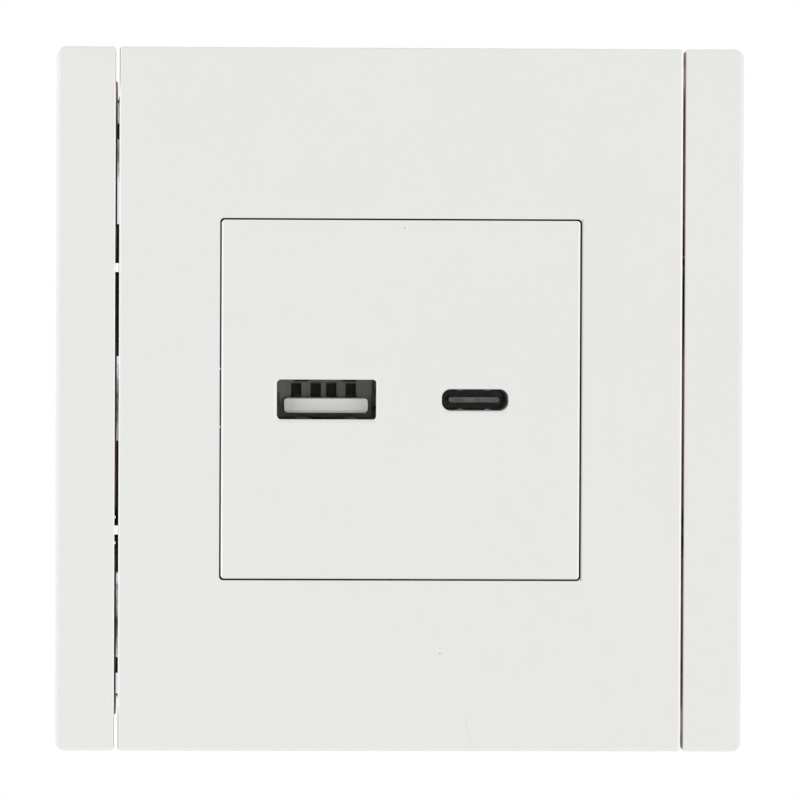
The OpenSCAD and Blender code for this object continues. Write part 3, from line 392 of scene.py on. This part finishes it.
def spangled_zinc(name):
    """Zinc-coated sheet: a patchwork of grey crystals under fine brushed lines. At the front edges
    of the flanges it shows the torn zinc: bright torn flecks at the tabs' fronts and dull brown
    painted shade elsewhere."""
    look = Look(name)
    x, y, _ = look.axes
    fleck, tone, metallic, roughness = torn_zinc_and_shade(look)
    flat = (abs(x) < FLANGE_X - TORN_AND_SHADE_WIDTH) + (y > FLANGE_FRONT_Y + TORN_AND_SHADE_DEPTH) > 0.5
    inputs = {"Vector": look.place, "Scale": 1.0 / SPANGLE}
    cells = look.node("ShaderNodeTexVoronoi", {}, inputs, out="Color")
    grey = 0.5 * look.math("FRACT", cells * 7.0) + 0.5 * look.brushed(0.3 * MM)
    tone = look.mix(flat, tone, look.mix(grey, ZINC, shade(ZINC, 0.8)))
    roughness = roughness + flat * (0.3 + 0.2 * grey - roughness)
    look.set(Base_Color=tone, Metallic=look.clamp(metallic + flat), Roughness=roughness)
    look.bump(fleck, 0.05, 0.02 * MM)
    return look.material


def wide_body(name):
    """The wide port's pale tongue, painted lighter towards its top and with painted shade on its
    rims, its base wall, and four slots in it painted dark as shade.
    """
    look = Look(name)
    _, y, z = look.axes
    grain = look.noise(0.3 * MM, 3.0)
    front = look.mix(look.clamp((z + BLEND_BELOW) / BLEND_HEIGHT), TONGUE_SHADED_LOW, TONGUE_LIT_HIGH)
    above_low_rim = look.clamp((z + LOW_RIM_BELOW) / LOW_RIM_FADE)
    below_top_rim = look.clamp((TOP_RIM_Z - z) / TOP_RIM_FADE)
    front = look.mix(above_low_rim * below_top_rim, TONGUE_RIM_SHADE, front)
    tone = look.mix(y > WIDE_BASE_Y - BASE_SKIN, front, WIDE_BASE)
    tone = look.mix((y > WIDE_BASE_Y + SLOT_DEPTH) * (z < SLOT_TOP), tone, SLOT_SHADE)
    look.set(Base_Color=tone, Roughness=0.42 + 0.1 * (grain - 0.5))
    look.bump(grain, 0.08, 0.02 * MM)
    return look.material


def wide_shell(name):
    """The wide port's folded steel. Its right wall is painted dark and dull as shade, the shade
    weaker in small spots along z; its lower wall has a painted shade, and its two spring fingers
    a painted highlight."""
    look = Look(name)
    x, y, z = look.axes
    lines = look.brushed(0.12 * MM)
    spots = look.noise(0.14 * MM, 1.0, (0.2, 0.2, 1.0)) > 0.55
    notch = spots * (z > NOTCH_BOTTOM_Z) * (y < NOTCH_BACK_Y)
    right_wall_shade = (x > WIDE_X + SHELL_HALF) * (1.0 - 0.6 * notch)
    tone = look.mix(lines, SHELL_PALE, SHELL_DULL)
    finger = (abs(abs(x - WIDE_X) - FINGER_X) < FINGER_HALF) * (z < FINGER_TOP_Z)
    tone = look.mix((z < LOW_WALL_Z) * 0.7, tone, SHELL_LOW_SHADE)
    tone = look.mix(finger, tone, SHELL_FINGER_HIGHLIGHT)
    tone = look.mix(right_wall_shade, tone, SHELL_RIGHT_SHADE)
    look.set(Base_Color=tone, Metallic=1.0 - 0.6 * right_wall_shade, Roughness=0.34)
    look.bump(lines, 0.08, 0.02 * MM)
    return look.material


def narrow_tongue(name):
    """The narrow port's black body, its base wall painted paler as painted light. Its thin tongue's
    tip is mottled darker and lighter grey. Its two sides, where a plug's latches grip the steel
    mid-plate, are steel grey: the steel is real, its paleness painted light."""
    look = Look(name)
    x, y, z = look.axes
    off_middle = abs(x - NARROW_X)
    spots = look.clamp(3.0 * (look.noise(0.5 * MM, 3.0, (0.4, 1.0, 1.0)) - 0.35))
    tip = look.clamp((TIP_HALF - off_middle) / TIP_FADE) * (y < NARROW_BASE_Y - TIP_REACH)
    tip = tip * look.clamp((TIP_THICK - abs(z + TIP_DROP)) / TIP_THICK_FADE)
    tone = look.mix(y > NARROW_BASE_Y - BASE_SKIN, NARROW_BLACK, NARROW_BASE_LIT)
    tone = look.mix(tip, tone, look.mix(spots, TIP_DARK, TIP_PALER))
    sides = (off_middle > LATCH_X) * (y < NARROW_BASE_Y - LATCH_REACH)
    look.set(Base_Color=look.mix(sides, tone, LIT_LATCH_STEEL), Roughness=0.5 - 0.1 * spots)
    look.bump(spots, 0.1, 0.03 * MM)
    return look.material


def plain_moulding(name, colour, roughness, grain_size=0.3 * MM, metallic=0.0):
    """A coloured moulding, coating or plated metal with a fine grain and slight changes of
    tone."""
    look = Look(name)
    grain = look.noise(grain_size, 3.0)
    tone = look.mix(look.noise(4 * MM), colour, shade(colour, 0.85))
    look.set(Base_Color=tone, Metallic=metallic, Roughness=roughness + 0.12 * (grain - 0.5))
    look.bump(grain, 0.1, 0.03 * MM)
    return look.material


def circuit_board(name):
    """Green lacquer over copper: wide pours and thin tracks show as a lighter green."""
    look = Look(name)
    x, _, z = look.axes
    pour = look.noise(POUR_SIZE, 1.0) > 0.52
    track = look.math("FRACT", (x + z) / TRACK_PITCH) < TRACK_SHARE
    copper = look.math("MAXIMUM", pour, track * (look.noise(9 * MM, 0.0) > 0.5))
    look.set(Base_Color=look.mix(copper, LACQUER, LACQUER_ON_COPPER), Roughness=0.32)
    look.bump(copper, 0.3, 0.04 * MM)
    return look.material


# Finishes by slot: the plain ones as colour and roughness, and for a metal its grain as well
PLAIN = {
    "black_plastic": ((0.03, 0.03, 0.031), 0.42),
    "contact_gold": ((0.5, 0.36, 0.16), 0.35, 0.2 * MM, 1.0),
    "brass": ((0.78, 0.6, 0.28), 0.32, 0.2 * MM, 1.0),
    "ferrite": ((0.045, 0.045, 0.05), 0.6),
    "tan_ceramic": ((0.45, 0.3, 0.17), 0.55),
    "yellow_tape": ((0.72, 0.5, 0.06), 0.3),
    "capacitor_sleeve": ((0.025, 0.035, 0.07), 0.28),
    "blue_coating": ((0.03, 0.12, 0.36), 0.3),
    "brown_coating": ((0.12, 0.05, 0.03), 0.35),
    "grey_block": ((0.5, 0.5, 0.48), 0.45),
}
LOOKS = {name: plain_moulding(name, *values) for name, values in PLAIN.items()}
for slot, finish in {
    "white_housing": moulded_housing, "zinc_steel": spangled_zinc, "screw_steel": screw_steel,
    "pale_insulator": wide_body, "circuit_board": circuit_board,
}.items():
    LOOKS[slot] = finish(slot)

# Painted highlights and painted shade along the white pieces' edges, seams and mouths, and their
# wear
RIM_LINES = [line(2, COVER_HALF, 0.25 * MM, DIM_EDGE_SHADE, 1.1), line(2, -COVER_HALF, 0.4 * MM, BRIGHT, 0.5)]
PLATE_LINES = [
    line(0, -PLATE_HALF + 0.06 * MM, 0.2 * MM, COOL_HIGHLIGHT, 1.2),
    line(0, PLATE_HALF - 0.08 * MM, 0.24 * MM, BRIGHT, 1.3),
    line(0, OPENING_HALF + 0.03 * MM, 0.16 * MM, BROWN_SHADE, 0.7, -OPENING_HALF, OPENING_HALF),
    *RIM_LINES,
]
LEFT_LINES = [
    line(0, LEFT_SEAM - 0.05 * MM, 0.16 * MM, CREAM_HIGHLIGHT, 1.1),
    line(0, LEFT_RIM, 0.5 * MM, BRIGHT, 0.8),
    *RIM_LINES,
]
RIGHT_LINES = [
    line(0, RIGHT_SEAM, 0.12 * MM, BROWN_SHADE, 0.9),
    line(0, RIGHT_RIM, 0.6 * MM, BRIGHT, 0.8),
    *RIM_LINES,
]
FRONT_LINES = [
    *(line(0, s * (FRONT_HALF - 0.1 * MM), 0.2 * MM, BRIGHT, 1.2) for s in (-1, 1)),
    *(line(2, s * FRONT_HALF, 0.15 * MM, BRIGHT, 0.3) for s in (-1, 1)),
    line(0, WIDE_X - 6.48 * MM, 0.28 * MM, BRIGHT, 0.4, -2.3 * MM, 2.3 * MM),
    line(0, WIDE_X + 6.24 * MM, 0.14 * MM, BRIGHT, 0.8, -2.4 * MM, 2.4 * MM),
    line(0, WIDE_X - 6.2 * MM, 0.1 * MM, MOUTH_EDGE_SHADE, 2.5, -2.1 * MM, 2.2 * MM),
    *(line(0, NARROW_X + s * 4.2 * MM, 0.12 * MM, BRIGHT, 0.5, -0.5 * MM, 0.5 * MM)
      for s in (-1, 1)),
]
OPENING_GAPS = [(axis, OPENING_HALF, 0.12 * MM, 0.1 * MM) for axis in (0, 2)]
FRONT_GAPS = [(axis, FRONT_HALF, 0.2 * MM, 0.03 * MM) for axis in (0, 2)]
MOUTHS = [(WIDE_X, 6.3 * MM, -2.5 * MM, 0.5 * MM), (NARROW_X, 4.0 * MM, -1.36 * MM, 0.4 * MM)]
FRONT_SPECK = (0.4 * MM, 21.5 * MM, 0.12 * MM)
PLATE_SPECK = (5.05 * MM, -31.75 * MM, 0.13 * MM)
PLATE_SCRATCH = (-1.3 * MM, -0.24, -43.4 * MM, -39.6 * MM)

# Finishes of single pieces, which go before those of their slots
NODE_LOOKS = {
    "centre_plate": white_plastic(
        "white_plate", PLATE_LINES, [(0, PLATE_HALF, 0.3 * MM, 0.2 * MM), *OPENING_GAPS],
        seam=(-PLATE_HALF, 1.8), speck=PLATE_SPECK, scratch=PLATE_SCRATCH),
    "left_side_strip": white_plastic(
        "white_left_strip", LEFT_LINES, [(0, -LEFT_SEAM, 0.3 * MM, 0.3 * MM)],
        seam=(LEFT_SEAM, 0.6)),
    "right_side_strip": white_plastic(
        "white_right_strip", RIGHT_LINES, [(0, RIGHT_SEAM, 0.3 * MM, 0.3 * MM)]),
    "front_cover": white_plastic(
        "white_front", FRONT_LINES, FRONT_GAPS, MOUTHS, speck=FRONT_SPECK),
    "wide_port_shell": wide_shell("wide_shell_steel"),
    "narrow_port_insulator": narrow_tongue("narrow_tongue"),
    "narrow_port_shell": plain_moulding(
        "narrow_shell_steel", (0.25, 0.25, 0.245), 0.45, metallic=0.4),
    # The wide port's contacts are a dark metal rather than gold: painted shade that keeps the slots
    # dark
    "wide_port_contacts": plain_moulding(
        "wide_contacts", (0.14, 0.12, 0.09), 0.4, 0.2 * MM, 1.0),
}

for part in frame["record"]["subparts"]:
    piece = frame["nodes"][part["node"]]
    piece.data.materials.clear()
    piece.data.materials.append(NODE_LOOKS.get(part["node"]) or LOOKS[part["material_slot"]])


def add_object(name, data):
    """Puts new data into the scene as an object."""
    made = bpy.data.objects.new(name, data)
    bpy.context.scene.collection.objects.link(made)
    return made


def surface_piece(name, points, look):
    """A mesh from a grid of points with shape (rows, columns, 3), closed round its columns and
    capped at both ends. Seen from the last row the columns run clockwise, so that the faces
    point outwards."""
    rows, columns = points.shape[:2]
    row, column = np.meshgrid(np.arange(rows - 1), np.arange(columns), indexing="ij")
    here, after = row * columns + column, row * columns + (column + 1) % columns
    faces = np.stack([here, here + columns, after + columns, after], axis=-1).reshape(-1, 4)
    caps = [list(range(columns)), list(range((rows - 1) * columns, rows * columns))[::-1]]
    mesh = bpy.data.meshes.new(name)
    mesh.from_pydata(points.reshape(-1, 3).tolist(), [], faces.tolist() + caps)
    mesh.materials.append(look)
    mesh.shade_smooth()
    return add_object(name, mesh)


def wander(along, seed):
    """A repeatable rough line between -1 and 1: the mean of five sines of rising pitch."""
    pitches = np.array([0.9, 2.1, 4.3, 7.7, 13.1])
    starts = seed * np.array([1.3, 2.9, 0.7, 5.1, 3.7])
    return np.sin(along[:, None] * pitches + starts).mean(axis=1)


BURR_ROWS, BURR_COLUMNS = 90, 12
BURR_A, BURR_B = 0.12 * MM, 0.015 * MM
BURR_IN_X, BURR_IN_Y = 0.13 * MM, 0.02 * MM
BURR_TAPER = 0.3 * MM


def burr(name, side, low, high, seed, look):
    """The torn lip that shearing leaves on a docking tab's front edge, a bead along z.

    At height z its section is an ellipse about (x0, y0): x = x0 + a cos t, y = y0 - b sin t.
    Its half width a and half height b are BURR_A and BURR_B times 0.6 + 0.4 w(z), where w is a
    rough line, and both shrink over the last stretch, BURR_TAPER long, at each end."""
    z = np.linspace(low, high, BURR_ROWS)
    t = np.linspace(0, 2 * np.pi, BURR_COLUMNS, endpoint=False)
    ends = np.clip(np.minimum(z - low, high - z) / BURR_TAPER, 0.02, 1.0) ** 0.5
    size = (0.6 + 0.4 * wander(z / MM, seed)) * ends
    x = side * (FLANGE_X - BURR_IN_X) + np.outer(size, BURR_A * np.cos(t))
    y = TAB_FRONT_Y + BURR_IN_Y - np.outer(size, BURR_B * np.sin(t))
    points = np.stack([x, y, np.repeat(z[:, None], len(t), axis=1)], axis=-1)
    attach(surface_piece(name, points, look), "socket")


BURR_ZINC = sheared_zinc_and_shade("sheared_zinc_and_shade")
for side_name, side in (("left", -1), ("right", 1)):
    for count, (start, stop) in enumerate(TABS):
        seed = 3.1 * count + side
        burr(f"{side_name}_burr_{count}", side, start * MM, stop * MM, seed, BURR_ZINC)

AMBIENT, BACKGROUND = 0.55, 1.0
LAMPS = [  # name, place, width, height, power
    ("left_box", (-0.75, -0.55, 0.15), 0.5, 0.7, 2.75),
    ("right_box", (0.75, -0.55, 0.15), 0.5, 0.7, 2.25),
    ("top_box", (0.0, -0.3, 0.8), 0.6, 0.4, 1.5),
    ("back_box", (0.1, 0.9, 0.45), 0.6, 0.4, 3.0),
]
FLOOR_R, FLOOR_Z, FLOOR_CORNERS = 0.45, -0.13, 64


def white_world():
    """Soft grey light all round, plain white to the camera and in clear reflections."""
    world = bpy.data.worlds.new("studio")
    bpy.context.scene.world = world
    tree = Tree(world)
    rays = [tree.node("ShaderNodeLightPath", out=f"Is {kind} Ray") for kind in ("Camera", "Glossy")]
    settings = {"operation": "ADD", "use_clamp": True}
    seen = tree.node("ShaderNodeMath", settings, dict(enumerate(rays)))
    soft, shown = (tree.node("ShaderNodeBackground", {}, {"Color": BRIGHT, "Strength": strength})
                   for strength in (AMBIENT, BACKGROUND))
    mixed = tree.node("ShaderNodeMixShader", {}, {0: seen, 1: soft, 2: shown})
    tree.end("ShaderNodeOutputWorld", mixed)


def floor():
    """A pale round table top well below the socket: x = r cos a, y = r sin a at one height."""
    a = np.linspace(0, 2 * np.pi, FLOOR_CORNERS, endpoint=False)
    points = np.stack([FLOOR_R * np.cos(a), FLOOR_R * np.sin(a), np.full_like(a, FLOOR_Z)], axis=-1)
    mesh = bpy.data.meshes.new("floor")
    mesh.from_pydata(points.tolist(), [], [tuple(range(len(a)))])
    look = Look("floor_paint")
    look.set(Base_Color=look.mix(look.noise(0.05), FLOOR_WHITE, FLOOR_GREYER), Roughness=0.8)
    mesh.materials.append(look.material)
    disc = add_object("floor", mesh)


def softbox(name, place, width, height, power):
    """A flat rectangular lamp at place, facing the socket."""
    data = bpy.data.lights.new(name, "AREA")
    data.shape = "RECTANGLE"
    data.size, data.size_y, data.energy = width, height, power
    lamp = add_object(name, data)
    lamp.location = place
    lamp.rotation_euler = (-Vector(place)).to_track_quat("-Z", "Y").to_euler()


white_world()
floor()
for lamp in LAMPS:
    softbox(*lamp)

CAMERA_PLACE = (-27.41 * MM, -408.75 * MM, 9.38 * MM)
CAMERA_TURN = (-0.518, -0.214, -0.926)  # pitch, roll and yaw in degrees
CAMERA_SHIFT = (0.20815, -0.05864)
CAMERA_BACK, FACE_WIDTH = 400 * MM, 100 * MM
SENSOR = 36.0


def camera():
    """A camera a little left of and above the middle, nearly square on, whose shift centres
    the cover. At CAMERA_BACK from the face the picture is FACE_WIDTH wide."""
    data = bpy.data.cameras.new("camera")
    data.sensor_width = SENSOR
    data.lens = data.sensor_width * CAMERA_BACK / FACE_WIDTH
    data.shift_x, data.shift_y = CAMERA_SHIFT
    data.clip_start, data.clip_end = 0.01, 10.0
    view = add_object("camera", data)
    view.location = CAMERA_PLACE
    pitch, roll, yaw = (math.radians(a) for a in CAMERA_TURN)
    view.rotation_euler = (math.pi / 2 + pitch, roll, yaw)
    bpy.context.scene.camera = view


camera()
bpy.context.scene.view_settings.view_transform = "Standard"
